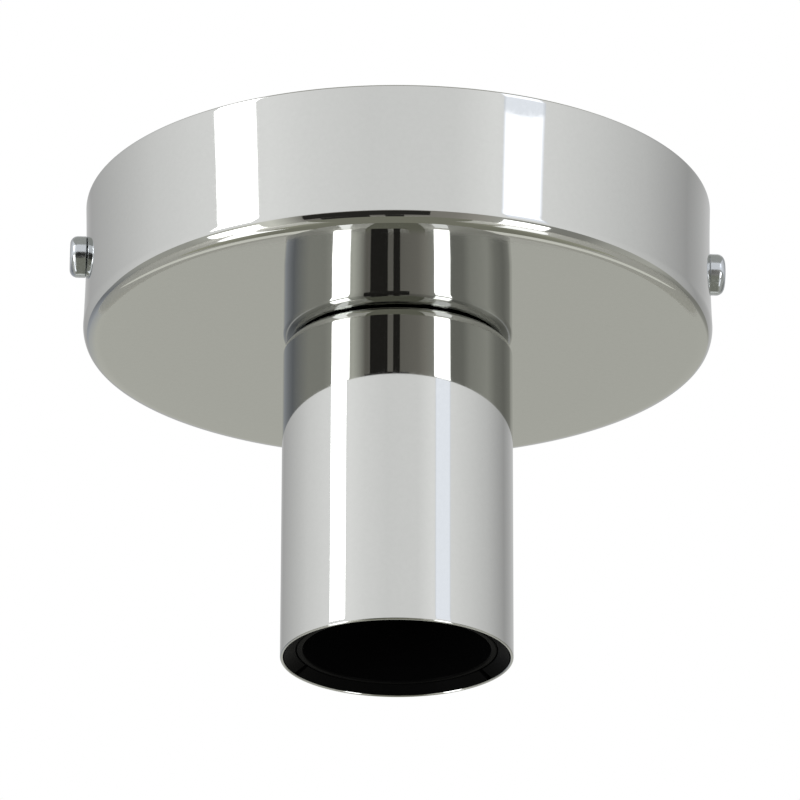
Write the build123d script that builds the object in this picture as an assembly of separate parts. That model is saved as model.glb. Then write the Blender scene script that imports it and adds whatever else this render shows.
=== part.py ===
from build123d import *
import math
import os

# A chrome ceiling lamp socket: a pressed canopy on a strap bracket, a drawn cup under it, and an E27
# lamp holder inside the cup. The origin is on the ceiling, at the canopy's centre, with +Z up and the
# bracket along X, so everything lies below z = 0. All sizes are in millimetres.

# Canopy, a pressed cup that opens upwards against the ceiling. Its wall is waisted at the side screws,
# where the diameter is taken, and its floor is crowned towards the edge. The flares and the crown are
# measured at the sharp corners, before the lower one is rounded.
canopy_diameter = 120.0
canopy_height = 27.8
canopy_wall = 0.8
canopy_edge_radius = 2.8
canopy_rim_flare = 0.2
canopy_foot_flare = 0.45
canopy_crown = 0.2
canopy_flat_diameter = 90.0

# Socket cup, drawn from one disc, open downwards
cup_diameter = 44.0
cup_length = 63.5
cup_wall = 0.6
cup_top_radius = 2.5
cup_mouth_radius = 0.28

# Strap bracket, folded from one strip
strap_width = 20.0
strap_thickness = 2.0
strap_bend_radius = 3.0
strap_cable_hole = 14.0
tab_drop = 18.0
tab_corner_radius = 5.0
ceiling_screw_hole = 5.0
ceiling_slot_travel = 14.0
ceiling_slot_spacing = 66.0

# Side screws (M4) and the earth screw of the same make
side_screw_drop = 11.0
machine_screw_thread = 4.0
machine_screw_head = 8.0
machine_screw_head_height = 3.1
machine_screw_head_round = 1.5
machine_screw_point_chamfer = 0.5
machine_screw_length = 8.0
cross_recess_length = 4.6
cross_recess_width = 0.9
cross_recess_depth = 1.7
cross_recess_taper = 8.0
earth_screw_offset = 14.5
earth_washer_side = 9.0
earth_washer_thickness = 0.8
earth_washer_lip = 1.2

# Hollow nipple (M10x1) with its nut, washer, earth tag and bush
nipple_thread = 10.0
nipple_bore = 7.6
nipple_above_nut = 3.0
nipple_end_chamfer = 0.5
locknut_across_flats = 14.0
locknut_height = 3.0
locknut_chamfer_height = 0.45
locknut_chamfer_width = 0.9
toothed_washer_diameter = 17.0
toothed_washer_thickness = 0.8
toothed_washer_teeth = 12
toothed_washer_tooth_depth = 2.0
toothed_washer_tooth_gap = 1.3
tag_ring_diameter = 18.0
tag_thickness = 0.8
tag_blade_width = 6.3
tag_blade_reach = 17.0
tag_blade_height = 11.0
tag_bend_radius = 1.6
tag_blade_hole = 2.0
bush_flange_diameter = 11.0
bush_flange_height = 1.4
bush_sleeve_length = 6.0
bush_wall = 0.8
bush_edge_radius = 0.6

# Moulded cap of the lamp holder
cap_overhang = 0.3
cap_wall = 2.0
cap_top_thickness = 3.0
cap_height = 22.8
cap_edge_radius = 3.0
cap_inner_edge_radius = 2.0
cap_boss_wall = 2.2
cap_boss_depth = 10.0
cap_rib_count = 8
cap_rib_thickness = 1.6
cap_rib_reach = 0.9
grub_thread = 3.0
grub_length = 3.0
grub_slot_width = 0.5
grub_slot_depth = 0.8

# Ceramic contact block and what is screwed to it
block_height = 10.0
block_chamfer = 0.6
block_top_below_cap_top = 15.6
small_screw_thread = 3.0
small_screw_head = 5.0
small_screw_head_height = 1.8
small_screw_head_round = 0.3
small_screw_slot_width = 0.8
small_screw_slot_depth = 0.9
shell_screw_radius = 9.4
shell_screw_grip = 2.4
square_nut_side = 5.5
square_nut_chamfer = 0.4
terminal_width = 7.0
terminal_chamfer = 0.5
terminal_inner_radius = 7.5
terminal_outer_radius = 14.0
terminal_height = 6.6
terminal_wire_hole = 2.8
terminal_wire_height = 4.0
terminal_screw_radius = 11.8
terminal_screw_lift = 1.0

# E27 screw shell, rolled from nickel-plated brass
e27_pitch = 3.629
e27_minor_diameter = 24.5
e27_major_diameter = 26.7
e27_groove_radius = 1.15
shell_sheet = 0.8
shell_outer_groove_radius = 1.0
shell_outer_diameter = 27.9
shell_length = 21.5
shell_collar = 6.3
shell_tab_width = 7.0
shell_tab_thickness = 0.6
shell_tab_reach = 3.0

# Centre contact, a bronze leaf whose root stands in a slot of the block
leaf_thickness = 0.5
leaf_width = 6.0
leaf_root_radius = 9.8
leaf_root_height = 3.2
leaf_knee_drop = 2.0
leaf_tip_drop = 5.8
leaf_curl_length = 3.0
leaf_curl_rise = 1.1
leaf_bend_radius = 1.2
leaf_swing_room = 0.7

# Moulded skirt and its retaining ring
skirt_lip_width = 1.3
skirt_mouth_depth = 12.8
skirt_lead_in = 1.6
skirt_lip_recess = 1.6
skirt_lip_radius = 0.35
skirt_neck_step = 1.8
skirt_neck_wall = 1.2
skirt_neck_height = 6.5
ring_width = 2.15
ring_height = 7.0
ring_recess = 0.2
ring_funnel_depth = 1.4
ring_slot_count = 3
ring_slot_width = 1.5
ring_slot_depth = 1.5
ring_slot_taper = 10.0

# Clearances on the radius, or on one side
thread_gap = 0.05
hole_gap = 0.25
sliding_gap = 0.1
ring_gap = 0.15
tab_gap = 0.15
head_gap = 0.03

# Levels and radii that follow from the sizes above
canopy_inner_radius = canopy_diameter / 2 - canopy_wall
canopy_floor_top = canopy_wall - canopy_height
cup_top = -canopy_height
cup_mouth = cup_top - cup_length
cup_inner_radius = cup_diameter / 2 - cup_wall
ring_outer_radius = cup_inner_radius - ring_gap
ring_inner_radius = ring_outer_radius - ring_width
skirt_radius = ring_inner_radius - sliding_gap
neck_radius = skirt_radius - skirt_neck_step
block_seat_radius = neck_radius - skirt_neck_wall
block_radius = block_seat_radius - sliding_gap
cap_radius = skirt_radius + cap_overhang
cap_top = cup_top - cup_wall
cap_bottom = cap_top - cap_height
block_top = cap_top - block_top_below_cap_top
block_bottom = block_top - block_height
tag_top = canopy_floor_top + tag_thickness
washer_top = tag_top + toothed_washer_thickness
locknut_top = washer_top + locknut_height
nipple_top = locknut_top + nipple_above_nut
boss_bottom = cap_top - cap_top_thickness - cap_boss_depth
skirt_lip = cup_mouth + skirt_lip_recess
tab_outer_x = math.sqrt(canopy_inner_radius ** 2 - (strap_width / 2) ** 2) - tab_gap
lamp_axis_front = -90.0

FROM_BOTTOM = (Align.CENTER, Align.CENTER, Align.MIN)


def disc(radius, bottom, top):
    return Pos(0, 0, bottom) * Cylinder(radius, top - bottom, align=FROM_BOTTOM)


def ring(outer_radius, inner_radius, bottom, top):
    return disc(outer_radius, bottom, top) - disc(inner_radius, bottom, top)


def rod_along_x(radius, length, x, z):
    """A cylinder that starts at x and runs along +X."""
    return Pos(x, 0, z) * Rot(0, 90, 0) * Cylinder(radius, length, align=FROM_BOTTOM)


def folded_strip(points, radius, thickness, width):
    """A strip folded along a line of (x, z) points, with its metal to the right of that line."""
    line = FilletPolyline(*points, radius=radius)
    section = make_face(offset(line, thickness, side=Side.RIGHT))
    return extrude(Plane.XZ * section, amount=width / 2, both=True)


def pan_head_screw(length):
    """An M4 pan-head screw on Z: its head's seat is at z = 0 and its shank runs down from there."""
    head = disc(machine_screw_head / 2, 0, machine_screw_head_height)
    head = fillet(head.edges().group_by(Axis.Z)[-1], machine_screw_head_round)
    arm = Rectangle(cross_recess_length, cross_recess_width)
    cross = Pos(0, 0, machine_screw_head_height) * (arm + Rot(0, 0, 90) * arm)
    recess = extrude(cross, amount=-cross_recess_depth, taper=cross_recess_taper)
    shank = disc(machine_screw_thread / 2 - thread_gap, -length, 0)
    return head - recess + chamfer(shank.edges().group_by(Axis.Z)[0], machine_screw_point_chamfer)


def slotted_screw(length):
    """An M3 cheese-head screw on Z: its head's seat is at z = 0 and its shank runs down from there."""
    head = disc(small_screw_head / 2, 0, small_screw_head_height)
    head = fillet(head.edges().group_by(Axis.Z)[-1], small_screw_head_round)
    slot = Pos(0, 0, small_screw_head_height) * Box(
        small_screw_head, small_screw_slot_width, 2 * small_screw_slot_depth
    )
    return head - slot + disc(small_screw_thread / 2 - thread_gap, -length, 0)


def canopy_blank(inset):
    """The canopy filled solid, or the space inside it where it is set in by its sheet."""
    waist = canopy_diameter / 2 - inset
    floor = inset - canopy_height
    rim = (waist + canopy_rim_flare, 0)
    corner = (waist + canopy_foot_flare, floor + canopy_crown)
    flat_edge = (canopy_flat_diameter / 2, floor)
    wall = ThreePointArc(rim, (waist, -side_screw_drop), corner)
    crown = TangentArc(flat_edge, corner, tangent=(1, 0))
    middle = Polyline(flat_edge, (0, floor), (0, 0), rim)
    outline = Wire([wall, crown, *middle.edges()])
    outline = fillet(outline.vertices().sort_by_distance(corner)[0], canopy_edge_radius - inset)
    return revolve(Plane.XZ * make_face(outline), Axis.Z)


def make_canopy():
    pressed = canopy_blank(0) - canopy_blank(canopy_wall)
    centre_hole = disc(nipple_thread / 2 + hole_gap, -canopy_height, canopy_floor_top)
    side_holes = rod_along_x(
        machine_screw_thread / 2 + hole_gap, 2 * canopy_diameter, -canopy_diameter, -side_screw_drop
    )
    return pressed - centre_hole - side_holes


def make_ceiling_bracket():
    strap = folded_strip(
        [(-tab_outer_x, -tab_drop), (-tab_outer_x, 0), (tab_outer_x, 0), (tab_outer_x, -tab_drop)],
        strap_bend_radius,
        strap_thickness,
        strap_width,
    )
    strap = fillet(strap.edges().filter_by(Axis.X).group_by(Axis.Z)[0], tab_corner_radius)
    slots = [
        Pos(side * ceiling_slot_spacing / 2, 0)
        * SlotCenterToCenter(ceiling_slot_travel, ceiling_screw_hole)
        for side in (-1, 1)
    ]
    earth_hole = Pos(earth_screw_offset, 0) * Circle(machine_screw_thread / 2)
    cut = Circle(strap_cable_hole / 2) + slots + earth_hole
    tab_holes = rod_along_x(machine_screw_thread / 2, 2 * tab_outer_x, -tab_outer_x, -side_screw_drop)
    return strap - extrude(cut, amount=-strap_thickness) - tab_holes


def make_side_screws():
    seat = canopy_diameter / 2 + head_gap
    right = Pos(seat, 0, -side_screw_drop) * Rot(0, 90, 0)
    left = Pos(-seat, 0, -side_screw_drop) * Rot(0, -90, 0)
    return Compound([place * pan_head_screw(machine_screw_length) for place in (left, right)])


def earth_washer_bottom():
    return -strap_thickness - earth_washer_lip - earth_washer_thickness


def make_bracket_earth_washer():
    half = earth_washer_side / 2
    low = earth_washer_bottom()
    saddle = folded_strip(
        [(half, -strap_thickness), (half, low), (-half, low), (-half, -strap_thickness)],
        earth_washer_thickness + 0.4,
        earth_washer_thickness,
        earth_washer_side,
    )
    hole = disc(machine_screw_thread / 2 + hole_gap, low, -strap_thickness)
    return Pos(earth_screw_offset, 0, 0) * (saddle - hole)


def make_bracket_earth_screw():
    low = earth_washer_bottom()
    return Pos(earth_screw_offset, 0, low) * Rot(180, 0, 0) * pan_head_screw(-low)


def make_threaded_nipple():
    tube = ring(nipple_thread / 2 - thread_gap, nipple_bore / 2, boss_bottom, nipple_top)
    outer_edges = tube.edges().filter_by(GeomType.CIRCLE).group_by(SortBy.RADIUS)[-1]
    return chamfer(outer_edges, nipple_end_chamfer)


def make_nipple_locknut():
    hexagon = RegularPolygon(locknut_across_flats / 2, 6, major_radius=False)
    prism = Pos(0, 0, washer_top) * extrude(hexagon, amount=locknut_height)
    turned = disc(locknut_across_flats / math.sqrt(3), washer_top, locknut_top)
    turned_edges = turned.edges().filter_by(GeomType.CIRCLE)
    turned = chamfer(turned_edges, locknut_chamfer_height, locknut_chamfer_width)
    return (prism & turned) - disc(nipple_thread / 2, washer_top, locknut_top)


def make_toothed_washer():
    plate = Circle(toothed_washer_diameter / 2) - Circle(nipple_thread / 2 + hole_gap)
    notch_radius = toothed_washer_diameter / 2
    plate -= PolarLocations(notch_radius, toothed_washer_teeth) * Rectangle(
        2 * toothed_washer_tooth_depth, toothed_washer_tooth_gap
    )
    return Pos(0, 0, tag_top) * extrude(plate, amount=toothed_washer_thickness)


def make_earth_tag():
    blade = folded_strip(
        [(tag_blade_reach, tag_blade_height), (tag_blade_reach, 0), (0, 0)],
        tag_bend_radius,
        tag_thickness,
        tag_blade_width,
    )
    blade = fillet(blade.edges().filter_by(Axis.X).group_by(Axis.Z)[-1], tag_blade_width / 4)
    tag = blade + disc(tag_ring_diameter / 2, 0, tag_thickness)
    tag -= disc(nipple_thread / 2 + hole_gap, 0, tag_thickness)
    tag -= rod_along_x(
        tag_blade_hole / 2, tag_blade_reach, tag_blade_reach / 2, tag_blade_height - tag_blade_width / 2
    )
    return Pos(0, 0, canopy_floor_top) * Rot(0, 0, 60) * tag


def make_wire_bush():
    sleeve_radius = nipple_bore / 2 - sliding_gap
    flange = disc(bush_flange_diameter / 2, nipple_top, nipple_top + bush_flange_height)
    flange = fillet(flange.edges().group_by(Axis.Z)[-1], bush_edge_radius)
    bush = flange + disc(sleeve_radius, nipple_top - bush_sleeve_length, nipple_top)
    bush -= disc(sleeve_radius - bush_wall, nipple_top - bush_sleeve_length, nipple_top + bush_flange_height)
    mouth = bush.edges().filter_by(GeomType.CIRCLE).group_by(Axis.Z)[-1].sort_by(SortBy.RADIUS)[0]
    return fillet(mouth, bush_edge_radius)


def make_socket_cup():
    blank = disc(cup_diameter / 2, cup_mouth, cup_top)
    blank = fillet(blank.edges().group_by(Axis.Z)[-1], cup_top_radius)
    drawn = offset(blank, -cup_wall, openings=blank.faces().sort_by(Axis.Z)[0])
    drawn = fillet(drawn.edges().group_by(Axis.Z)[0], cup_mouth_radius)
    return drawn - disc(nipple_thread / 2 + hole_gap, cap_top, cup_top)


def make_socket_cap():
    inner_radius = cap_radius - cap_wall
    ceiling = cap_top - cap_top_thickness
    body = disc(cap_radius, cap_bottom, cap_top)
    body = fillet(body.edges().group_by(Axis.Z)[-1], cap_edge_radius)
    cavity = disc(inner_radius, cap_bottom, ceiling)
    cavity = fillet(cavity.edges().group_by(Axis.Z)[-1], cap_inner_edge_radius)
    boss_radius = nipple_thread / 2 + cap_boss_wall
    boss = disc(boss_radius, boss_bottom, ceiling)
    rib_inner = block_radius - cap_rib_reach
    rib = Pos((rib_inner + inner_radius + cap_wall / 2) / 2, 0, block_top) * Box(
        inner_radius + cap_wall / 2 - rib_inner,
        cap_rib_thickness,
        ceiling - block_top,
        align=FROM_BOTTOM,
    )
    ribs = Rot(0, 0, 180 / cap_rib_count) * PolarLocations(0, cap_rib_count) * rib
    cap = body - cavity + boss + ribs
    cap -= disc(nipple_thread / 2, boss_bottom, cap_top)
    return cap - rod_along_x(grub_thread / 2, boss_radius, 0, grub_level())


def grub_level():
    return (cap_top - cap_top_thickness + boss_bottom) / 2


def make_cap_grub_screw():
    start = nipple_thread / 2
    screw = rod_along_x(grub_thread / 2 - thread_gap, grub_length, start, grub_level())
    slot = Pos(start + grub_length, 0, grub_level()) * Box(
        2 * grub_slot_depth, grub_thread, grub_slot_width
    )
    return screw - slot


def terminal_blank():
    """A brass terminal on the +X side: wire hole towards the axis, clamping screw from above."""
    length = terminal_outer_radius - terminal_inner_radius
    brick = Pos((terminal_inner_radius + terminal_outer_radius) / 2, 0, block_top) * Box(
        length, terminal_width, terminal_height, align=FROM_BOTTOM
    )
    brick = chamfer(brick.edges().filter_by(Axis.Z), terminal_chamfer)
    wire_level = block_top + terminal_wire_height
    brick -= rod_along_x(terminal_wire_hole / 2, length, terminal_inner_radius, wire_level)
    screw_hole = disc(small_screw_thread / 2, wire_level, block_top + terminal_height)
    return brick - Pos(terminal_screw_radius, 0, 0) * screw_hole


def make_side_terminal():
    shell_screw_hole = disc(small_screw_thread / 2, block_top, block_top + shell_screw_grip)
    return Rot(0, 0, 90) * (terminal_blank() - Pos(shell_screw_radius, 0, 0) * shell_screw_hole)


def make_centre_terminal():
    blade_bottom = block_bottom + leaf_root_height + sliding_gap
    blade = Pos(leaf_root_radius, 0, blade_bottom) * Box(
        leaf_thickness, leaf_width, block_top - blade_bottom, align=FROM_BOTTOM
    )
    return Rot(0, 0, 180) * (terminal_blank() + blade)


def make_terminal_screws():
    seat = block_top + terminal_height + terminal_screw_lift
    length = terminal_height + terminal_screw_lift - terminal_wire_height
    screw = Pos(terminal_screw_radius, 0, seat) * slotted_screw(length)
    return Compound([Rot(0, 0, turn) * screw for turn in (90, 180)])


def make_contact_block():
    block = disc(block_radius, block_bottom, block_top)
    block = chamfer(block.edges(), block_chamfer)
    screw_hole = disc(small_screw_thread / 2 + sliding_gap, block_bottom, block_top)
    block -= [Pos(0, side * shell_screw_radius, 0) * screw_hole for side in (-1, 1)]
    slot_start = leaf_root_radius - leaf_thickness / 2 - sliding_gap
    slot_end = leaf_root_radius + leaf_thickness / 2 + leaf_swing_room
    slot = Box(slot_end - slot_start, leaf_width + 2 * sliding_gap, block_height, align=FROM_BOTTOM)
    return block - Pos(-(slot_start + slot_end) / 2, 0, block_bottom) * slot


def make_shell_screws():
    seat = block_bottom - shell_tab_thickness
    screw = Rot(180, 0, 0) * slotted_screw(shell_tab_thickness + block_height + shell_screw_grip)
    return Compound([Pos(0, side * shell_screw_radius, seat) * screw for side in (-1, 1)])


def make_shell_nut():
    nut = Box(square_nut_side, square_nut_side, shell_screw_grip, align=FROM_BOTTOM)
    nut = Pos(0, 0, block_top) * chamfer(nut.edges().filter_by(Axis.Z), square_nut_chamfer)
    hole = disc(small_screw_thread / 2, block_top, block_top + shell_screw_grip)
    return Pos(0, -shell_screw_radius, 0) * (nut - hole)


def thread_groove(centre_radius, groove_radius, start, length):
    """A helical groove of the rounded E27 profile, cut from the start level upwards."""
    path = Helix(pitch=e27_pitch, height=length, radius=centre_radius, center=(0, 0, start))
    profile = Plane(origin=path @ 0, z_dir=path % 0, x_dir=(0, 0, 1)) * Circle(groove_radius)
    return sweep(profile, path=path, is_frenet=True)


def make_screw_shell():
    outer_radius = shell_outer_diameter / 2
    bottom = block_bottom - shell_length
    thread_top = block_bottom - shell_collar
    shell = ring(outer_radius, e27_minor_diameter / 2, bottom, block_bottom)
    shell -= disc(e27_major_diameter / 2, thread_top, block_bottom)
    start = bottom - e27_pitch
    run = thread_top - start
    inner_centre = e27_major_diameter / 2 - e27_groove_radius
    outer_centre = e27_minor_diameter / 2 + shell_sheet + shell_outer_groove_radius
    shell -= thread_groove(inner_centre, e27_groove_radius, start, run + e27_pitch / 2)
    shell -= thread_groove(outer_centre, shell_outer_groove_radius, start - e27_pitch / 2, run)
    tab_inner = shell_screw_radius - shell_tab_reach
    tab_outer = (outer_radius + e27_major_diameter / 2) / 2
    tab = Pos((tab_inner + tab_outer) / 2, 0, block_bottom - shell_tab_thickness) * Box(
        tab_outer - tab_inner, shell_tab_width, shell_tab_thickness, align=FROM_BOTTOM
    )
    hole = disc(small_screw_thread / 2 + sliding_gap, block_bottom - shell_tab_thickness, block_bottom)
    tab -= Pos(shell_screw_radius, 0, 0) * hole
    return shell + [Rot(0, 0, turn) * tab for turn in (90, 270)]


def make_centre_contact():
    tip_level = block_bottom - leaf_tip_drop
    return folded_strip(
        [
            (-leaf_root_radius - leaf_thickness / 2, block_bottom + leaf_root_height),
            (-leaf_root_radius - leaf_thickness / 2, block_bottom - leaf_knee_drop),
            (0, tip_level),
            (leaf_curl_length, tip_level + leaf_curl_rise),
        ][::-1],
        leaf_bend_radius,
        leaf_thickness,
        leaf_width,
    )


def make_socket_skirt():
    bore = shell_outer_diameter / 2 + sliding_gap
    mouth = skirt_radius - skirt_lip_width
    mouth_top = skirt_lip + skirt_mouth_depth
    section = Polyline(
        (block_seat_radius, cap_bottom + skirt_neck_height),
        (neck_radius, cap_bottom + skirt_neck_height),
        (neck_radius, cap_bottom),
        (skirt_radius, cap_bottom),
        (skirt_radius, skirt_lip),
        (mouth, skirt_lip),
        (mouth, mouth_top),
        (bore, mouth_top + skirt_lead_in),
        (bore, block_bottom),
        (block_seat_radius, block_bottom),
        close=True,
    )
    skirt = revolve(Plane.XZ * make_face(section), Axis.Z)
    lip = skirt.edges().filter_by(GeomType.CIRCLE).group_by(Axis.Z)[0]
    return fillet(lip, skirt_lip_radius)


def make_retaining_ring():
    low = cup_mouth + ring_recess
    section = Polyline(
        (ring_inner_radius, low + ring_funnel_depth),
        (ring_outer_radius, low),
        (ring_outer_radius, low + ring_height),
        (ring_inner_radius, low + ring_height),
        close=True,
    )
    body = revolve(Plane.XZ * make_face(section), Axis.Z)
    key = Pos((ring_inner_radius + ring_outer_radius) / 2, 0, low) * Rectangle(2 * ring_width, ring_slot_width)
    slot = extrude(key, amount=ring_slot_depth + ring_funnel_depth, taper=ring_slot_taper)
    return body - Rot(0, 0, lamp_axis_front) * PolarLocations(0, ring_slot_count) * slot


makers = {
    "canopy": make_canopy,
    "ceiling_bracket": make_ceiling_bracket,
    "side_screws": make_side_screws,
    "bracket_earth_washer": make_bracket_earth_washer,
    "bracket_earth_screw": make_bracket_earth_screw,
    "threaded_nipple": make_threaded_nipple,
    "nipple_locknut": make_nipple_locknut,
    "toothed_washer": make_toothed_washer,
    "earth_tag": make_earth_tag,
    "wire_bush": make_wire_bush,
    "socket_cup": make_socket_cup,
    "socket_cap": make_socket_cap,
    "cap_grub_screw": make_cap_grub_screw,
    "side_terminal": make_side_terminal,
    "centre_terminal": make_centre_terminal,
    "terminal_screws": make_terminal_screws,
    "contact_block": make_contact_block,
    "shell_screws": make_shell_screws,
    "shell_nut": make_shell_nut,
    "screw_shell": make_screw_shell,
    "centre_contact": make_centre_contact,
    "socket_skirt": make_socket_skirt,
    "retaining_ring": make_retaining_ring,
}

os.makedirs("parts", exist_ok=True)
for node, make in makers.items():
    export_step(make(), f"parts/{node}.step")
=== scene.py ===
import math

import bpy
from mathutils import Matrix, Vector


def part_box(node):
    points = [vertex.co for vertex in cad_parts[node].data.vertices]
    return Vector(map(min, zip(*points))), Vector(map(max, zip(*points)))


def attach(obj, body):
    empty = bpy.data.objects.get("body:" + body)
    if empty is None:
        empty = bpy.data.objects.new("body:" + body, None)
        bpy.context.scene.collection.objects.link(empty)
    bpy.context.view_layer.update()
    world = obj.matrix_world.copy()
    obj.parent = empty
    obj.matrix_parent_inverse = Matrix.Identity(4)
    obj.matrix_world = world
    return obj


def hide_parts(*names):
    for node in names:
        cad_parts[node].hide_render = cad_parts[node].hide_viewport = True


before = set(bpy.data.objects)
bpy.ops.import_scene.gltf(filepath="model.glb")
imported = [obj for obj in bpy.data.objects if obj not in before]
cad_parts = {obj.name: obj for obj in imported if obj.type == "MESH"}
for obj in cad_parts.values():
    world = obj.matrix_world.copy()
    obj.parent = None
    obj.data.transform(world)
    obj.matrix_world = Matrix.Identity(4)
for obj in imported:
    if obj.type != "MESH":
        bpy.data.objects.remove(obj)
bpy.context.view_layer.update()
bpy.ops.object.select_all(action="DESELECT")

# Ceiling bracket
# A strap folded from galvanised steel strip, with slots for the ceiling screws and a threaded tab at
# each end. It is screwed to the ceiling first and carries all the rest.
MM = 0.001
PATTERN_LOW = 0.3
PATTERN_HIGH = 0.7
GALVANISED_LIGHT = "BCC1C3"
GALVANISED_DARK = "8E9598"
SPANGLE_MM = 5.0
GALVANISED_ROUGHNESS = (0.34, 0.5)
STRIP_GRAIN_MM = 0.4
STRIP_GRAIN_SHARE = 0.35
STRIP_RELIEF_MM = 0.004


def linear(hex_colour):
    """Turns an sRGB hex colour into the linear RGBA that shaders take."""
    channels = [int(hex_colour[i : i + 2], 16) / 255 for i in (0, 2, 4)]
    return [c / 12.92 if c <= 0.04045 else ((c + 0.055) / 1.055) ** 2.4 for c in channels] + [1.0]


def per_metre(size_mm):
    """The texture scale at which a pattern repeats about every size_mm."""
    return 1 / (size_mm * MM)


def add_node(tree, kind, settings=None, values=None, links=None):
    """Adds a node, sets its properties and input values, and links other nodes' outputs into it."""
    made = tree.nodes.new(kind)
    for name, value in (settings or {}).items():
        setattr(made, name, value)
    for socket, value in (values or {}).items():
        made.inputs[socket].default_value = value
    for socket, source in (links or {}).items():
        tree.links.new(source, made.inputs[socket])
    return made


def new_material(name, values):
    """A Principled material of that name, with its tree, its shader and its Object coordinates."""
    made = bpy.data.materials.new(name)
    made.use_nodes = True
    tree = made.node_tree
    shader = tree.nodes["Principled BSDF"]
    for socket, value in values.items():
        shader.inputs[socket].default_value = value
    place = add_node(tree, "ShaderNodeTexCoord").outputs["Object"]
    return made, tree, shader, place


def dress(tree, shader, pattern, colours, roughness, relief_mm=None):
    """Lets one pattern drive a surface: dark to light colour, low to high roughness, and a little relief."""
    dark, light = colours
    low, high = roughness
    colour = add_node(
        tree,
        "ShaderNodeMix",
        {"data_type": "RGBA"},
        {"A": linear(dark), "B": linear(light)},
        {"Factor": pattern},
    )
    gloss = add_node(
        tree,
        "ShaderNodeMapRange",
        values={"From Min": PATTERN_LOW, "From Max": PATTERN_HIGH, "To Min": low, "To Max": high},
        links={"Value": pattern},
    )
    tree.links.new(colour.outputs["Result"], shader.inputs["Base Color"])
    tree.links.new(gloss.outputs["Result"], shader.inputs["Roughness"])
    if relief_mm:
        relief = add_node(
            tree, "ShaderNodeBump", values={"Distance": relief_mm * MM}, links={"Height": pattern}
        )
        tree.links.new(relief.outputs["Normal"], shader.inputs["Normal"])


# Hot-dip galvanising: dull grey crystals of zinc, each a shade of its own, over a faintly rough strip.
galvanised, tree, shader, place = new_material("galvanised_steel_strip", {"Metallic": 1.0})
spangle = add_node(
    tree, "ShaderNodeTexVoronoi", values={"Scale": per_metre(SPANGLE_MM)}, links={"Vector": place}
)
crystal = add_node(tree, "ShaderNodeSeparateColor", links={"Color": spangle.outputs["Color"]})
strip_grain = add_node(
    tree,
    "ShaderNodeTexNoise",
    values={"Scale": per_metre(STRIP_GRAIN_MM), "Detail": 3.0},
    links={"Vector": place},
)
shade = add_node(
    tree,
    "ShaderNodeMix",
    values={"Factor": STRIP_GRAIN_SHARE},
    links={"A": crystal.outputs["Red"], "B": strip_grain.outputs["Fac"]},
)
dress(
    tree,
    shader,
    shade.outputs["Result"],
    (GALVANISED_DARK, GALVANISED_LIGHT),
    GALVANISED_ROUGHNESS,
    STRIP_RELIEF_MM,
)


def finish_nodes(material, *names):
    """Gives the solids of those names a finish."""
    for name in names:
        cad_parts[name].material_slots[0].material = material


finish_nodes(galvanised, "ceiling_bracket")

# Canopy
# A shallow round cup, drawn from steel sheet, buffed and chrome plated. Drawing leaves its wall waisted
# by a hair at the side screws, its floor crowned by a hair, and its rolled lower edge eased on both sides.
CANOPY_WAIST = 60.0
CANOPY_RIM_FLARE = 0.2
CANOPY_SHEET = 0.8
CANOPY_EDGE_HEIGHT = 2.9
CANOPY_SHOULDER_RADIUS = 4.0
CANOPY_SHOULDER_TURN = 25
CANOPY_SHOULDER_STEPS = 16
CANOPY_CORNER_STEPS = 24
CANOPY_EASE_START = 56.9
CANOPY_EASE_RADIUS = 6.8
CANOPY_EASE_TURN = 20
CANOPY_EASE_STEPS = 30
CANOPY_RIM_STEPS = 12
CANOPY_FLAT_RADIUS = 45.0
CANOPY_CROWN = 0.2
CANOPY_CROWN_WIDTH = 15.45
CANOPY_RING_STEP = 0.5
NIPPLE_HOLE_RADIUS = 5.25
SIDE_HOLE_RADIUS = 2.25
SIDE_HOLE_SIDES = 48
TURNED_SIDES = 256
WELD_MM = 0.001
SHARP_EDGE = math.radians(40)
canopy_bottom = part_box("canopy")[0].z / MM
screw_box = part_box("side_screws")
screw_level = (screw_box[0].z + screw_box[1].z) / 2 / MM


def canopy_wall(level):
    """The wall's outer radius, least at the side screws' level."""
    return CANOPY_WAIST + CANOPY_RIM_FLARE * (level / screw_level - 1) ** 2


def canopy_floor(radius):
    """The level of the floor's lower face: flat in its middle, crowned up towards the edge."""
    return canopy_bottom + CANOPY_CROWN * (max(0, radius - CANOPY_FLAT_RADIUS) / CANOPY_CROWN_WIDTH) ** 2


def arc(centre, radius, start, end, steps):
    """Points of an arc in an outline, from one angle to another, in degrees, both ends included."""
    r, z = centre
    turns = [math.radians(start + (end - start) * i / steps) for i in range(steps + 1)]
    return [(r + radius * math.cos(t), z + radius * math.sin(t)) for t in turns]


def spread(start, end, step):
    """Evenly spaced values from start to end, both included, at most a step apart."""
    steps = math.ceil(abs(end - start) / step)
    return [start + (end - start) * i / steps for i in range(steps + 1)]


def inner_side(outside, sheet):
    """The other side of a sheet: the outside's points moved in by its thickness, in reverse order."""
    moved = []
    for i, (r, z) in enumerate(outside):
        r0, z0 = outside[max(i - 1, 0)]
        r1, z1 = outside[min(i + 1, len(outside) - 1)]
        length = math.hypot(r1 - r0, z1 - z0)
        moved.append((r + sheet * (z1 - z0) / length, z - sheet * (r1 - r0) / length))
    return moved[::-1]


def shade_smooth(piece):
    """Smooth shading that leaves sharp edges sharp."""
    bpy.context.view_layer.objects.active = piece
    piece.select_set(True)
    bpy.ops.object.shade_smooth_by_angle(angle=SHARP_EDGE)
    piece.select_set(False)


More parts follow.
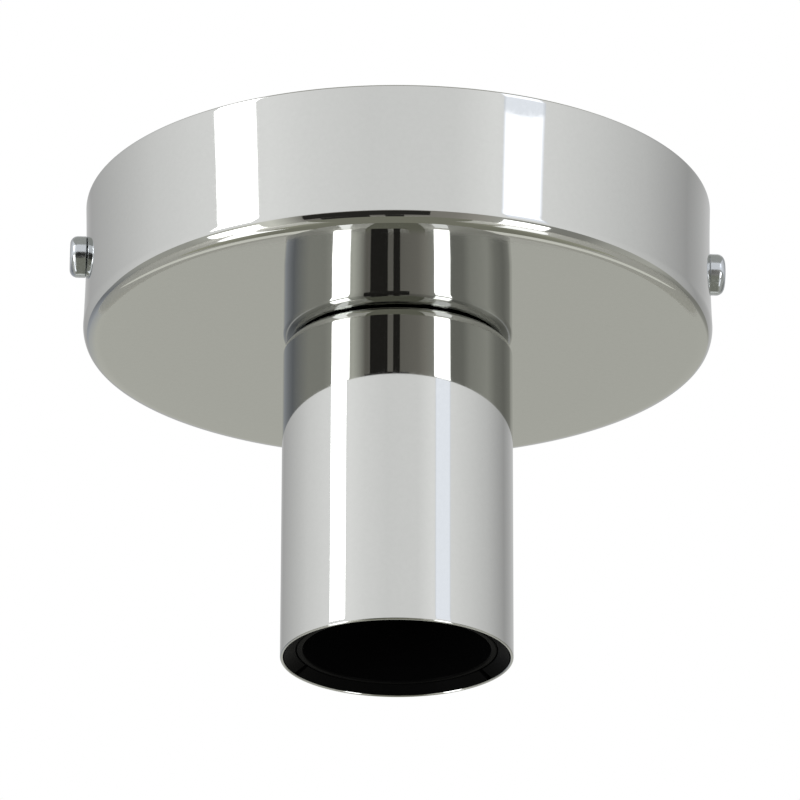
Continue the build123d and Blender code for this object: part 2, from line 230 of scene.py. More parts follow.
def turn(name, outline, sides=TURNED_SIDES, capped=False):
    """Turns an outline about the Z axis, ring by ring: points are a radius and a level, and may have a shift.
    The last ring is joined to the first, or both are capped."""
    rings = [(r, z, *(shift or (0, 0))) for r, z, *shift in outline]
    radius, level, x, y = rings[0]
    bpy.ops.mesh.primitive_circle_add(
        vertices=sides,
        radius=radius * MM,
        location=(x * MM, y * MM, level * MM),
        fill_type="NGON" if capped else "NOTHING",
    )
    made = bpy.context.object
    made.name = name
    bpy.ops.object.transform_apply(location=True, rotation=False, scale=False)
    bpy.ops.object.mode_set(mode="EDIT")
    for (r0, z0, x0, y0), (r1, z1, x1, y1) in zip(rings, rings[1:] + ([] if capped else rings[:1])):
        move = ((x1 - x0) * MM, (y1 - y0) * MM, (z1 - z0) * MM)
        bpy.ops.mesh.extrude_edges_move(TRANSFORM_OT_translate={"value": move})
        bpy.ops.transform.resize(value=(r1 / r0, r1 / r0, 1), center_override=(x1 * MM, y1 * MM, z1 * MM))
    if capped:
        bpy.ops.mesh.edge_face_add()
    bpy.ops.mesh.select_all(action="SELECT")
    bpy.ops.mesh.remove_doubles(threshold=WELD_MM * MM)
    bpy.ops.mesh.normals_make_consistent(inside=False)
    bpy.ops.object.mode_set(mode="OBJECT")
    shade_smooth(made)
    return made


def cut(piece, cutter):
    """Takes the cutter's shape out of a piece, and the cutter away."""
    cutter.select_set(False)
    modifier = piece.modifiers.new("cut", "BOOLEAN")
    modifier.operation = "DIFFERENCE"
    modifier.solver = "EXACT"
    modifier.object = cutter
    bpy.context.view_layer.objects.active = piece
    bpy.ops.object.modifier_apply(modifier=modifier.name)
    bpy.data.objects.remove(cutter)
    shade_smooth(piece)


# The edge, from the floor outwards: a wide ease, a tight corner that fits what is left, and a shoulder.
edge_top = canopy_bottom + CANOPY_EDGE_HEIGHT
wall_slope = math.degrees(math.atan2(canopy_wall(edge_top) - canopy_wall(edge_top + 1), 1))
ease_level = canopy_floor(CANOPY_EASE_START)
ease_slope = math.atan2(ease_level - canopy_floor(CANOPY_EASE_START - 1), 1)
ease_centre = (
    CANOPY_EASE_START - CANOPY_EASE_RADIUS * math.sin(ease_slope),
    ease_level + CANOPY_EASE_RADIUS * math.cos(ease_slope),
)
ease = arc(
    ease_centre,
    CANOPY_EASE_RADIUS,
    CANOPY_EASE_TURN - 90,
    math.degrees(ease_slope) - 90,
    CANOPY_EASE_STEPS,
)
shoulder_cos = math.cos(math.radians(CANOPY_SHOULDER_TURN))
shoulder_sin = math.sin(math.radians(CANOPY_SHOULDER_TURN))
ease_cos = math.cos(math.radians(CANOPY_EASE_TURN))
ease_sin = math.sin(math.radians(CANOPY_EASE_TURN))
shoulder_end = canopy_wall(edge_top) - CANOPY_SHOULDER_RADIUS * (1 - shoulder_cos)
corner_radius = (shoulder_end - ease[0][0]) / (shoulder_cos - ease_sin)
corner_centre = (ease[0][0] - corner_radius * ease_sin, ease[0][1] + corner_radius * ease_cos)
corner = arc(
    corner_centre, corner_radius, -CANOPY_SHOULDER_TURN, CANOPY_EASE_TURN - 90, CANOPY_CORNER_STEPS
)
shoulder_centre = (
    corner[0][0] - CANOPY_SHOULDER_RADIUS * shoulder_cos,
    corner[0][1] + CANOPY_SHOULDER_RADIUS * shoulder_sin,
)
shoulder = arc(
    shoulder_centre, CANOPY_SHOULDER_RADIUS, wall_slope, -CANOPY_SHOULDER_TURN, CANOPY_SHOULDER_STEPS
)
wall = [(canopy_wall(z), z) for z in spread(-CANOPY_SHEET / 2, shoulder[0][1], CANOPY_RING_STEP)[:-1]]
crown = [(r, canopy_floor(r)) for r in spread(CANOPY_EASE_START, CANOPY_FLAT_RADIUS, CANOPY_RING_STEP)[1:]]
canopy_outside = wall + shoulder + corner[1:] + ease[1:] + crown + [(NIPPLE_HOLE_RADIUS, canopy_bottom)]
rim_centre = (canopy_outside[0][0] - CANOPY_SHEET / 2, -CANOPY_SHEET / 2)
rim = arc(rim_centre, CANOPY_SHEET / 2, 180, 0, CANOPY_RIM_STEPS)[1:-1]
canopy = turn("canopy_pressing", canopy_outside + inner_side(canopy_outside, CANOPY_SHEET) + rim)
bpy.ops.mesh.primitive_cylinder_add(
    vertices=SIDE_HOLE_SIDES,
    radius=SIDE_HOLE_RADIUS * MM,
    depth=3 * CANOPY_WAIST * MM,
    location=(0, 0, screw_level * MM),
    rotation=(0, math.radians(90), 0),
)
cut(canopy, bpy.context.object)
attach(canopy, "housing")
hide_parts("canopy")

# Bright chrome: a mirror that returns about six tenths of the light. Buffing leaves a long soft wave in
# its reflections, and a faint haze that comes and goes. The haze is drawn coarser than it is, to show.
CHROME_LIGHT = "CBCCCA"
CHROME_DARK = "C7C8C6"
CHROME_ROUGHNESS = (0.018, 0.045)
BUFFING_HAZE_MM = 0.9
BUFFING_WAVE_MM = 14.0
BUFFING_DEPTH_MM = 0.008
chrome, tree, shader, place = new_material("polished_chrome_plate", {"Metallic": 1.0})
haze = add_node(
    tree,
    "ShaderNodeTexNoise",
    values={"Scale": per_metre(BUFFING_HAZE_MM), "Detail": 3.0},
    links={"Vector": place},
)
dress(tree, shader, haze.outputs["Fac"], (CHROME_DARK, CHROME_LIGHT), CHROME_ROUGHNESS)
wave = add_node(
    tree,
    "ShaderNodeTexNoise",
    values={"Scale": per_metre(BUFFING_WAVE_MM), "Detail": 0.0},
    links={"Vector": place},
)
relief = add_node(
    tree, "ShaderNodeBump", values={"Distance": BUFFING_DEPTH_MM * MM}, links={"Height": wave.outputs["Fac"]}
)
tree.links.new(relief.outputs["Normal"], shader.inputs["Normal"])
canopy.data.materials.append(chrome)

# Side screws
# Two M4 pan-head screws, cold-headed with a cross recess, thread-rolled and zinc plated. They go through
# the canopy's wall into the bracket's tabs, and hold the canopy up.
SCREW_HEAD_RADIUS = 4.0
SCREW_HEAD_HEIGHT = 3.1
SCREW_HEAD_ROUND = 1.5
SCREW_ROUND_STEPS = 16
SCREW_CROWN_SHARE = 0.95
SCREW_HEAD_CHAMFER = 0.15
SCREW_LENGTH = 8.0
SCREW_CREST_RADIUS = 1.97
SCREW_THREAD_DEPTH = 0.43
SCREW_PITCH = 0.7
SCREW_POINT_RADIUS = 1.4
SCREW_POINT_LENGTH = 0.6
SCREW_SIDES = 64
RECESS_LENGTH = 4.6
RECESS_WIDTH = 1.1
RECESS_DEPTH = 1.9
RECESS_TAPER = 0.45
THREAD_STEPS = 14
FAR_SCREW_TURN = 35


def thread(crest, depth, pitch, start, end):
    """Rings of a right-hand thread, each off the axis by half the thread's depth, a little further round."""
    rings = []
    for level in spread(start, end, pitch / THREAD_STEPS):
        angle = math.tau * level / pitch
        rings.append((crest - depth / 2, level, depth / 2 * math.cos(angle), depth / 2 * math.sin(angle)))
    return rings


dome_radius = SCREW_HEAD_RADIUS - SCREW_HEAD_ROUND
screw = turn(
    "side_screw_pair",
    [(SCREW_CROWN_SHARE * dome_radius, SCREW_HEAD_HEIGHT)]
    + arc(
        (dome_radius, SCREW_HEAD_HEIGHT - SCREW_HEAD_ROUND), SCREW_HEAD_ROUND, 90, 0, SCREW_ROUND_STEPS
    )
    + [(SCREW_HEAD_RADIUS, SCREW_HEAD_CHAMFER), (SCREW_HEAD_RADIUS - SCREW_HEAD_CHAMFER, 0)]
    + thread(SCREW_CREST_RADIUS, SCREW_THREAD_DEPTH, SCREW_PITCH, 0, SCREW_POINT_LENGTH - SCREW_LENGTH)
    + [(SCREW_POINT_RADIUS, -SCREW_LENGTH)],
    SCREW_SIDES,
    capped=True,
)
for quarter in (0, 90):
    bpy.ops.mesh.primitive_cube_add(
        size=1,
        location=(0, 0, SCREW_HEAD_HEIGHT * MM),
        rotation=(0, 0, math.radians(quarter)),
        scale=(RECESS_LENGTH * MM, RECESS_WIDTH * MM, 2 * RECESS_DEPTH * MM),
    )
    blade = bpy.context.object
    bpy.ops.object.mode_set(mode="EDIT")
    bpy.ops.mesh.select_all(action="DESELECT")
    bpy.ops.object.mode_set(mode="OBJECT")
    for vertex in blade.data.vertices:
        vertex.select = vertex.co.z < 0
    bpy.ops.object.mode_set(mode="EDIT")
    bpy.ops.transform.resize(value=(RECESS_TAPER, RECESS_TAPER, 1))
    bpy.ops.object.mode_set(mode="OBJECT")
    cut(screw, blade)
screw.rotation_euler = (0, math.radians(90), 0)
screw.location = (screw_box[1].x - SCREW_HEAD_HEIGHT * MM, 0, screw_level * MM)
bpy.ops.object.select_all(action="DESELECT")
screw.select_set(True)
bpy.context.view_layer.objects.active = screw
bpy.ops.object.duplicate()
far_screw = bpy.context.object
far_screw.rotation_mode = "YXZ"
far_screw.rotation_euler = (math.radians(FAR_SCREW_TURN), math.radians(-90), 0)
far_screw.location = (screw_box[0].x + SCREW_HEAD_HEIGHT * MM, 0, screw_level * MM)
screw.select_set(True)
bpy.context.view_layer.objects.active = screw
bpy.ops.object.transform_apply(location=True, rotation=True, scale=True)
bpy.ops.object.join()
screw.select_set(False)
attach(screw, "housing")
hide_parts("side_screws")

# Bright zinc plate: a blue-white metal, less deep than chrome, with the fine dulling of a tumbled part.
# Its dulling is drawn coarser than it is, to show.
ZINC_LIGHT = "CDD1D5"
ZINC_DARK = "B9BEC4"
ZINC_ROUGHNESS = (0.1, 0.2)
TUMBLING_MM = 0.5
TUMBLING_RELIEF_MM = 0.0015
zinc, tree, shader, place = new_material("bright_zinc_plate", {"Metallic": 1.0})
tumbling = add_node(
    tree,
    "ShaderNodeTexNoise",
    values={"Scale": per_metre(TUMBLING_MM), "Detail": 4.0},
    links={"Vector": place},
)
dress(
    tree, shader, tumbling.outputs["Fac"], (ZINC_DARK, ZINC_LIGHT), ZINC_ROUGHNESS, TUMBLING_RELIEF_MM
)
screw.data.materials.append(zinc)
finish_nodes(zinc, "bracket_earth_washer", "nipple_locknut", "toothed_washer", "cap_grub_screw")
finish_nodes(zinc, "terminal_screws", "shell_screws")

# Hollow nipple
# A tube with an M10x1 thread rolled along all of it, zinc plated. With its nut it clamps canopy and cup
# together, it carries the lamp holder's cap, and the leads come down through it.
NIPPLE_BORE_RADIUS = 3.8
NIPPLE_THREAD_DEPTH = 0.61
NIPPLE_PITCH = 1.0
NIPPLE_CHAMFER = 0.6
NIPPLE_SIDES = 72
nipple_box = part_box("threaded_nipple")
nipple_crest = nipple_box[1].x / MM
nipple_bottom = nipple_box[0].z / MM
nipple_top = nipple_box[1].z / MM
nipple_end_radius = nipple_crest - NIPPLE_THREAD_DEPTH
nipple = turn(
    "rolled_nipple",
    [(nipple_end_radius, nipple_bottom)]
    + thread(
        nipple_crest,
        NIPPLE_THREAD_DEPTH,
        NIPPLE_PITCH,
        nipple_bottom + NIPPLE_CHAMFER,
        nipple_top - NIPPLE_CHAMFER,
    )
    + [(nipple_end_radius, nipple_top)]
    + [(NIPPLE_BORE_RADIUS, nipple_top), (NIPPLE_BORE_RADIUS, nipple_bottom)],
    NIPPLE_SIDES,
)
nipple.data.materials.append(zinc)
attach(nipple, "housing")
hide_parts("threaded_nipple")

# Wire bush
# A small flanged bush, moulded in natural nylon, pushed into the nipple's upper end so that its edge
# can't cut the leads.
NYLON_LIGHT = "E9E4D6"
NYLON_DARK = "DAD3C0"
NYLON_ROUGHNESS = (0.34, 0.46)
NYLON_SUBSURFACE = 0.2
NYLON_SCATTER_MM = (1.2, 1.0, 0.7)
NYLON_CLOUD_MM = 2.5
NYLON_RELIEF_MM = 0.01
nylon, tree, shader, place = new_material("moulded_natural_nylon", {"Subsurface Weight": NYLON_SUBSURFACE})
shader.inputs["Subsurface Radius"].default_value = [depth * MM for depth in NYLON_SCATTER_MM]
cloud = add_node(
    tree,
    "ShaderNodeTexNoise",
    values={"Scale": per_metre(NYLON_CLOUD_MM), "Detail": 4.0},
    links={"Vector": place},
)
dress(tree, shader, cloud.outputs["Fac"], (NYLON_DARK, NYLON_LIGHT), NYLON_ROUGHNESS, NYLON_RELIEF_MM)
finish_nodes(nylon, "wire_bush")

# Brass fittings
# The earth tag and earth screw, the two terminals and the shell's nut are stamped or turned from plain
# brass, which has dulled a little since.
BRASS_LIGHT = "DDBF7C"
BRASS_DARK = "B8944E"
BRASS_ROUGHNESS = (0.2, 0.38)
BRASS_TARNISH_MM = 2.0
BRASS_RELIEF_MM = 0.006
brass, tree, shader, place = new_material("plain_brass", {"Metallic": 1.0})
tarnish = add_node(
    tree,
    "ShaderNodeTexNoise",
    values={"Scale": per_metre(BRASS_TARNISH_MM), "Detail": 6.0},
    links={"Vector": place},
)
dress(tree, shader, tarnish.outputs["Fac"], (BRASS_DARK, BRASS_LIGHT), BRASS_ROUGHNESS, BRASS_RELIEF_MM)
finish_nodes(brass, "earth_tag", "bracket_earth_screw", "side_terminal", "centre_terminal", "shell_nut")

# Socket cup
# A straight deep cup drawn from thinner sheet and plated with the canopy. Its closed end has a soft
# edge and is clamped to the canopy's floor by the nipple, and its mouth's edge is rolled round.
CUP_SHEET = 0.6
CUP_TOP_RADIUS = 2.5
CUP_TOP_STEPS = 40
CUP_MOUTH_STEPS = 14
CUP_RING_STEP = 1.0
cup_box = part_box("socket_cup")
cup_radius = cup_box[1].x / MM
cup_top = cup_box[1].z / MM
cup_lip = cup_box[0].z / MM + CUP_SHEET / 2
cup_corner = (cup_radius - CUP_TOP_RADIUS, cup_top - CUP_TOP_RADIUS)
cup_outside = (
    [(NIPPLE_HOLE_RADIUS, cup_top), (cup_corner[0] - CUP_RING_STEP, cup_top)]
    + arc(cup_corner, CUP_TOP_RADIUS, 90, 0, CUP_TOP_STEPS)
    + [(cup_radius, z) for z in spread(cup_corner[1], cup_lip, CUP_RING_STEP)[1:]]
)
mouth = arc((cup_radius - CUP_SHEET / 2, cup_lip), CUP_SHEET / 2, 0, -180, CUP_MOUTH_STEPS)[1:-1]
cup = turn("cup_pressing", cup_outside + mouth + inner_side(cup_outside, CUP_SHEET))
cup.data.materials.append(chrome)
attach(cup, "housing")
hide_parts("socket_cup")

# Black mouldings
# The holder's cap and skirt and the retaining ring are moulded in black thermoplastic. The skirt screws
# to the cap, and the ring screws on to the skirt in the cup's mouth.
# The tool's fine spark grain makes them a soft black; it is drawn coarser than it is, to show.
BLACK_LIGHT = "0B0B0C"
BLACK_DARK = "050505"
BLACK_ROUGHNESS = (0.3, 0.42)
BLACK_SPECULAR = 0.012
MOULD_GRAIN_MM = 0.35
MOULD_RELIEF_MM = 0.006
black, tree, shader, place = new_material(
    "moulded_black_thermoplastic", {"Specular IOR Level": BLACK_SPECULAR}
)
grain = add_node(
    tree,
    "ShaderNodeTexNoise",
    values={"Scale": per_metre(MOULD_GRAIN_MM), "Detail": 3.0},
    links={"Vector": place},
)
dress(tree, shader, grain.outputs["Fac"], (BLACK_DARK, BLACK_LIGHT), BLACK_ROUGHNESS, MOULD_RELIEF_MM)
finish_nodes(black, "socket_cap", "socket_skirt", "retaining_ring")

# Contact block
# A disc of steatite, pressed from powder and fired unglazed. It carries the shell, the centre contact
# and the terminals, and the skirt holds it against the cap.
# Fired steatite is an even cream with faint darker specks and a dry surface.
STEATITE_LIGHT = "E8E3D7"
STEATITE_DARK = "D2CBBB"
STEATITE_ROUGHNESS = (0.5, 0.68)
STEATITE_SPECK_MM = 0.7
STEATITE_RELIEF_MM = 0.02
steatite, tree, shader, place = new_material("fired_steatite", {})
speck = add_node(
    tree,
    "ShaderNodeTexNoise",
    values={"Scale": per_metre(STEATITE_SPECK_MM), "Detail": 5.0, "Roughness": 0.7},
    links={"Vector": place},
)
dress(
    tree,
    shader,
    speck.outputs["Fac"],
    (STEATITE_DARK, STEATITE_LIGHT),
    STEATITE_ROUGHNESS,
    STEATITE_RELIEF_MM,
)
finish_nodes(steatite, "contact_block")

# Screw shell
# A thin brass shell, rolled into the lamp's thread, pierced for its two screws and nickel plated. It is
# one of the lamp's two contacts.
NICKEL_LIGHT = "D9D2C5"
NICKEL_DARK = "BBB2A2"
NICKEL_ROUGHNESS = (0.16, 0.3)
NICKEL_DRAW_MM = 1.2
NICKEL_RELIEF_MM = 0.004
nickel, tree, shader, place = new_material("nickel_plated_brass", {"Metallic": 1.0})
drawing = add_node(
    tree,
    "ShaderNodeTexNoise",
    values={"Scale": per_metre(NICKEL_DRAW_MM), "Detail": 5.0},
    links={"Vector": place},
)
dress(tree, shader, drawing.outputs["Fac"], (NICKEL_DARK, NICKEL_LIGHT), NICKEL_ROUGHNESS, NICKEL_RELIEF_MM)
finish_nodes(nickel, "screw_shell")

# Centre contact
# A leaf of phosphor bronze, cut from rolled strip along its grain and bent. The lamp's tip presses it
# up. Rolling leaves fine lines along it.
BRONZE_LIGHT = "D39B6B"
BRONZE_DARK = "A9714A"
BRONZE_ROUGHNESS = (0.2, 0.36)
ROLLING_LINE_MM = 0.25
ROLLING_STRETCH = 0.04
BRONZE_RELIEF_MM = 0.004
bronze, tree, shader, place = new_material("phosphor_bronze_strip", {"Metallic": 1.0})
along = add_node(
    tree,
    "ShaderNodeMapping",
    values={"Scale": (ROLLING_STRETCH, 1, ROLLING_STRETCH)},
    links={"Vector": place},
)
line = add_node(
    tree,
    "ShaderNodeTexNoise",
    values={"Scale": per_metre(ROLLING_LINE_MM), "Detail": 3.0},
    links={"Vector": along.outputs["Vector"]},
)
dress(tree, shader, line.outputs["Fac"], (BRONZE_DARK, BRONZE_LIGHT), BRONZE_ROUGHNESS, BRONZE_RELIEF_MM)
finish_nodes(bronze, "centre_contact")

# Camera
# It stands below the lamp and a little to one side, far off, with a long lens.
CAMERA_DISTANCE = 1.2
CAMERA_LEVEL = -0.5195
CAMERA_PITCH = 21.83
CAMERA_ROLL = 0.17
CAMERA_YAW = 3.7
FOCAL_PIXELS = 6765
FRAME_PIXELS = 800
AXIS_PIXEL = 397.6
SENSOR_MM = 36
CAMERA_CLIP_END = 50
camera_data = bpy.data.cameras.new("camera")
camera_data.sensor_width = SENSOR_MM
camera_data.lens = FOCAL_PIXELS / FRAME_PIXELS * SENSOR_MM
camera_data.clip_end = CAMERA_CLIP_END
camera = bpy.data.objects.new("camera", camera_data)
yaw = math.radians(CAMERA_YAW)
slant = math.hypot(CAMERA_DISTANCE, CAMERA_LEVEL)
camera_aside = (FRAME_PIXELS / 2 - AXIS_PIXEL) / FOCAL_PIXELS * slant
camera.location = (
    -CAMERA_DISTANCE * math.sin(yaw) + camera_aside * math.cos(yaw),
    -CAMERA_DISTANCE * math.cos(yaw) - camera_aside * math.sin(yaw),
    CAMERA_LEVEL,
)
camera.rotation_euler = (math.radians(90 + CAMERA_PITCH), 0, -yaw)
camera.rotation_euler.rotate_axis("Z", math.radians(CAMERA_ROLL))
bpy.context.scene.collection.objects.link(camera)
bpy.context.scene.camera = camera
bpy.context.scene.view_settings.view_transform = "Standard"

# Floor
# A wide sheet of pale paper, far enough below for a hanging lamp.
FLOOR_LEVEL = -1.15
FLOOR_SIDE = 12.0
PAPER_LIGHT = "E3E2DC"
PAPER_DARK = "DDDCD5"
PAPER_FIBRE_MM = 3.0
PAPER_ROUGHNESS = (0.85, 0.95)
bpy.ops.mesh.primitive_plane_add(size=FLOOR_SIDE, location=(0, 0, FLOOR_LEVEL))
floor = bpy.context.object
floor.name = "floor"
paper, tree, shader, place = new_material("pale_floor_paper", {})
fibre = add_node(
    tree,
    "ShaderNodeTexNoise",
    values={"Scale": per_metre(PAPER_FIBRE_MM), "Detail": 4.0},
    links={"Vector": place},
)
dress(tree, shader, fibre.outputs["Fac"], (PAPER_DARK, PAPER_LIGHT), PAPER_ROUGHNESS)
floor.data.materials.append(paper)

# Studio walls
# Rings of soft light that the chrome mirrors, a dim one from the floor up to about the lamp's level and a
# bright one above it. They meet a little higher in front. Stops are degrees from the camera towards its
# right, strength and tint.
RING_SIDES = 128
RING_RADIUS = 2.3
LOW_RING = (-1.12, 0.03)
HIGH_RING = (0.03, 2.3)
RING_SLANT = 0.25
COOL = "F1F6FF"
WHITE = "FFFFFF"
WARM = "FFFFF5"
BROWN = "FFFAEF"
LOW_STOPS = (
    (-180, 0.57, WARM),
    (-168, 0.61, WARM),
    (-155, 0.5, COOL),
    (-130, 0.27, COOL),
    (-100, 0.46, WARM),
    (-78, 0.46, WARM),
    (-45, 0.9, WARM),
    (-40, 0.66, WARM),
    (-32, 0.24, BROWN),
    (-7, 0.24, BROWN),
    (5, 0.27, BROWN),
    (20, 0.31, BROWN),
    (28, 0.42, BROWN),
    (36, 0.5, WARM),
    (58, 0.3, WARM),
    (68, 0.31, WARM),
    (78, 0.47, WARM),
    (101, 0.57, WARM),
    (115, 0.36, WARM),
    (132, 0.27, WARM),
    (150, 0.36, WARM),
    (158, 0.58, WARM),
    (168, 0.58, WARM),
    (180, 0.57, WARM),
)
HIGH_STOPS = (
    (-180, 0.6, WHITE),
    (-155, 0.47, WHITE),
    (-130, 0.66, WHITE),
    (-113, 0.8, WHITE),
    (-100, 0.92, WHITE),
    (-78, 1.04, WHITE),
    (-48, 1.13, WHITE),
    (-32, 1.03, WHITE),
    (-10, 0.95, WHITE),
    (20, 0.97, WHITE),
    (35, 1.12, WHITE),
    (59, 1.03, WHITE),
    (78, 0.92, WHITE),
    (101, 0.76, WHITE),
    (115, 0.62, WHITE),
    (132, 0.46, WHITE),
    (158, 0.6, WHITE),
    (180, 0.6, WHITE),
)


def glow(name, stops):
    """A light that varies by a ramp, with its tree, its place's axes and the ramp's socket to link."""
    made = bpy.data.materials.new(name)
    made.use_nodes = True
    tree = made.node_tree
    tree.nodes.clear()
    place = add_node(tree, "ShaderNodeTexCoord").outputs["Object"]
    axes = add_node(tree, "ShaderNodeSeparateXYZ", links={"Vector": place})
    ramp = add_node(tree, "ShaderNodeValToRGB")
    top = max(strength for _, strength, _ in stops)
    while len(ramp.color_ramp.elements) < len(stops):
        ramp.color_ramp.elements.new(1.0)
    for element, (share, strength, tint) in zip(ramp.color_ramp.elements, stops):
        element.position = share
        element.color = [channel * strength / top for channel in linear(tint)[:3]] + [1.0]
    light = add_node(
        tree, "ShaderNodeEmission", values={"Strength": top}, links={"Color": ramp.outputs["Color"]}
    )
    add_node(tree, "ShaderNodeOutputMaterial", links={"Surface": light.outputs["Emission"]})
    return made, tree, axes, ramp.inputs["Fac"]


def set_up(piece, name, light):
    """Puts a light on the stage, where mirrors see it and the camera doesn't."""
    piece.name = name
    piece.data.materials.append(light)
    piece.visible_camera = False
    piece.select_set(False)


def light_ring(name, levels, stops):
    """An upright ring of light round the lamp, turned so that its front faces the camera. The edge where the
    two rings meet, the low one's upper and the high one's lower, is slanted."""
    low, high = levels
    bpy.ops.mesh.primitive_cylinder_add(
        vertices=RING_SIDES,
        radius=RING_RADIUS,
        depth=high - low,
        end_fill_type="NOTHING",
        location=(0, 0, (low + high) / 2),
        rotation=(0, 0, -yaw),
    )
    ring = bpy.context.object
    meets_above = levels == LOW_RING
    for vertex in ring.data.vertices:
        if (vertex.co.z > 0) == meets_above:
            vertex.co.z -= RING_SLANT * vertex.co.y / RING_RADIUS
    shares = [(azimuth / 360 + 0.5, strength, tint) for azimuth, strength, tint in stops]
    light, tree, axes, share = glow(name + "_light", shares)
    front = add_node(tree, "ShaderNodeMath", {"operation": "MULTIPLY"}, {1: -1.0}, {0: axes.outputs["Y"]})
    azimuth = add_node(
        tree, "ShaderNodeMath", {"operation": "ARCTAN2"}, links={0: axes.outputs["X"], 1: front.outputs[0]}
    )
    part = add_node(
        tree,
        "ShaderNodeMath",
        {"operation": "MULTIPLY_ADD"},
        {1: 1 / math.tau, 2: 0.5},
        {0: azimuth.outputs[0]},
    )
    tree.links.new(part.outputs[0], share)
    set_up(ring, name, light)


light_ring("low_wall", LOW_RING, LOW_STOPS)
light_ring("high_wall", HIGH_RING, HIGH_STOPS)

# Softboxes and flags
# Upright cards nearer than the walls: a softbox on each side, the left one in two panes and the right one
# in three, and black flags in front. Their stops are shares of the card's width, strength and tint.
SOFTBOX_DISTANCE = 1.9
SOFTBOX_EDGES = (0.06, 0.92)
PANE_BLUE = "F2F6FF"
PANE_PALE_BLUE = "F6F8FF"
FLAG_DISTANCE = 2.0
FLAG_STRENGTH = 0.03


def light_card(name, azimuths, distance, elevations, stops):
    """An upright card that faces the lamp, between two azimuths and two elevations, in degrees."""
    a0, a1 = azimuths
    heading = math.radians((a0 + a1) / 2) - yaw
    width = 2 * distance * math.tan(math.radians(a1 - a0) / 2)
    low, high = (distance * math.tan(math.radians(e)) + screw_level * MM for e in elevations)
    bpy.ops.mesh.primitive_plane_add(
        size=1,
        location=(distance * math.sin(heading), -distance * math.cos(heading), (low + high) / 2),
        rotation=(math.radians(90), 0, heading),
    )
    card = bpy.context.object
    card.scale = (width, high - low, 1)
    light, tree, axes, share = glow(name + "_light", stops)
    part = add_node(tree, "ShaderNodeMath", {"operation": "ADD"}, {1: 0.5}, {0: axes.outputs["X"]})
    tree.links.new(part.outputs[0], share)
    set_up(card, name, light)


def softened(strength, edge, tint=WHITE):
    """Stops of a softbox that is dimmer at its two edges."""
    first, last = SOFTBOX_EDGES
    return (0, edge, tint), (first, strength, tint), (last, strength, tint), (1, edge, tint)


def even(strength, tint):
    """Stops of a card that is the same all over."""
    return (0, strength, tint), (1, strength, tint)


light_card("left_low_pane", (-69.5, -48.5), SOFTBOX_DISTANCE, (-29, -5), softened(6.0, 1.5))
light_card("left_high_pane", (-69.5, -52), SOFTBOX_DISTANCE, (15, 40), softened(6.0, 1.5))
light_card("right_low_pane", (36.3, 54), SOFTBOX_DISTANCE, (-29, -4), softened(5.0, 1.4))
light_card("right_middle_pane", (38, 54), SOFTBOX_DISTANCE, (13, 21.5), softened(1.4, 1.05, PANE_BLUE))
light_card("right_high_pane", (38, 54), SOFTBOX_DISTANCE, (21.5, 40), softened(2.0, 1.15, PANE_PALE_BLUE))
light_card("wide_flag", (-33, 11), FLAG_DISTANCE, (-18, 4), even(FLAG_STRENGTH, BROWN))
light_card("left_flag", (-27.5, -10), FLAG_DISTANCE, (-28, -18), even(FLAG_STRENGTH, BROWN))
light_card("middle_flag", (-4.5, 2.2), FLAG_DISTANCE, (-28, -18), even(FLAG_STRENGTH, BROWN))

# Cards on the floor and overhead
# They lie flat: olive ones under the lamp and before it, a pale one behind and a strip of light under each
# softbox, for the bands along the canopy's rolled edge, and a grey one overhead for its rim. The one under
# the lamp is dimmer in its middle, a painted shadow of the lamp on the floor, and the pale one behind is
# painted light, the lit floor beyond that shadow.
FLOOR_CARD_LEVEL = FLOOR_LEVEL + 0.01
CARD_STEP = 0.005
SECOND_LEVEL = FLOOR_CARD_LEVEL + CARD_STEP
THIRD_LEVEL = FLOOR_CARD_LEVEL + 2 * CARD_STEP
OVERHEAD_LEVEL = 2.4
OLIVE = "F5F5DE"
# The card under the lamp is dimmer across its middle: a painted shadow of the lamp on the floor.
FLOOR_SHADOW_STOPS = ((0, 0.5, OLIVE), (0.27, 0.28, OLIVE), (0.73, 0.28, OLIVE), (1, 0.5, OLIVE))


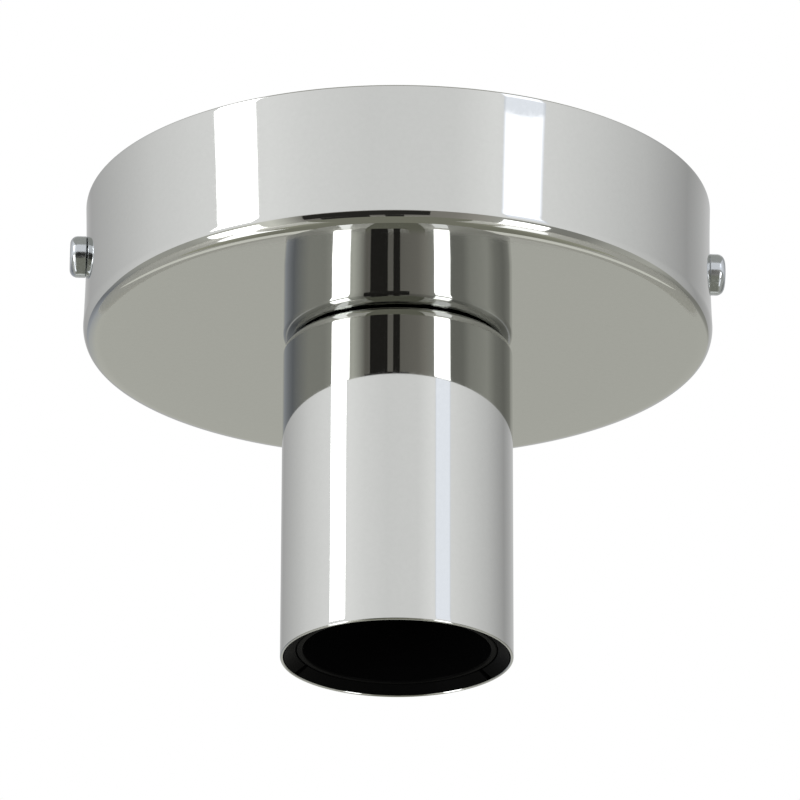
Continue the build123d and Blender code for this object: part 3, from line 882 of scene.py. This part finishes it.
def flat_card(name, azimuth, reach, widths, level, stops, aside=0.0):
    """A card that lies flat: it runs along an azimuth from a near to a far distance, with a width at each,
    and can lie to one side of that line."""
    near, far = reach
    bpy.ops.mesh.primitive_plane_add(size=1, rotation=(0, 0, math.radians(azimuth) - yaw))
    card = bpy.context.object
    for vertex in card.data.vertices:
        at_far = vertex.co.y < 0
        vertex.co.x = vertex.co.x * widths[at_far] + aside
        vertex.co.y = -far if at_far else -near
        vertex.co.z = level
    light, tree, axes, share = glow(name + "_light", stops)
    part = add_node(
        tree,
        "ShaderNodeMath",
        {"operation": "MULTIPLY_ADD"},
        {1: 1 / max(widths), 2: 0.5 - aside / max(widths)},
        {0: axes.outputs["X"]},
    )
    tree.links.new(part.outputs[0], share)
    set_up(card, name, light)


# Painted shadow: the floor under the lamp, dim in its middle, as the chrome mirrors it.
flat_card("floor_shadow_card", 0, (-1.0, 0.4), (1.0, 1.0), FLOOR_CARD_LEVEL, FLOOR_SHADOW_STOPS)
flat_card("front_card", -3, (0.3, 2.25), (0.5, 2.6), SECOND_LEVEL, even(0.28, OLIVE))
# Painted light: the lit patch of floor behind the lamp's shadow.
flat_card("lit_floor_card", 180, (0.84, 1.55), (0.04, 1.42), SECOND_LEVEL, even(0.85, WARM))
flat_card("left_strip", -37.4, (-0.1, 1.6), (0.25, 0.25), THIRD_LEVEL, even(2.2, WHITE), -0.57)
flat_card("right_strip", 35, (0.25, 1.3), (0.24, 0.4), THIRD_LEVEL, even(1.7, WHITE), 0.38)
flat_card("overhead_card", 0, (-2.0, 2.0), (4.0, 4.0), OVERHEAD_LEVEL, even(0.45, WARM))

# World
# Even white surroundings: plain soft light on the lamp, and a white background to the eye and to mirrors.
AMBIENT_STRENGTH = 0.75
BACKDROP_STRENGTH = 1.0
world = bpy.data.worlds.new("studio")
bpy.context.scene.world = world
world.use_nodes = True
tree = world.node_tree
tree.nodes.clear()
path = add_node(tree, "ShaderNodeLightPath")
mirrored = add_node(
    tree,
    "ShaderNodeMath",
    {"operation": "MAXIMUM"},
    links={0: path.outputs["Is Glossy Ray"], 1: path.outputs["Is Transmission Ray"]},
)
seen = add_node(
    tree,
    "ShaderNodeMath",
    {"operation": "MAXIMUM"},
    links={0: path.outputs["Is Camera Ray"], 1: mirrored.outputs[0]},
)
ambient = add_node(
    tree, "ShaderNodeBackground", values={"Color": linear(WHITE), "Strength": AMBIENT_STRENGTH}
)
backdrop = add_node(
    tree, "ShaderNodeBackground", values={"Color": linear(WHITE), "Strength": BACKDROP_STRENGTH}
)
surroundings = add_node(
    tree,
    "ShaderNodeMixShader",
    links={0: seen.outputs[0], 1: ambient.outputs[0], 2: backdrop.outputs[0]},
)
add_node(tree, "ShaderNodeOutputWorld", links={"Surface": surroundings.outputs[0]})
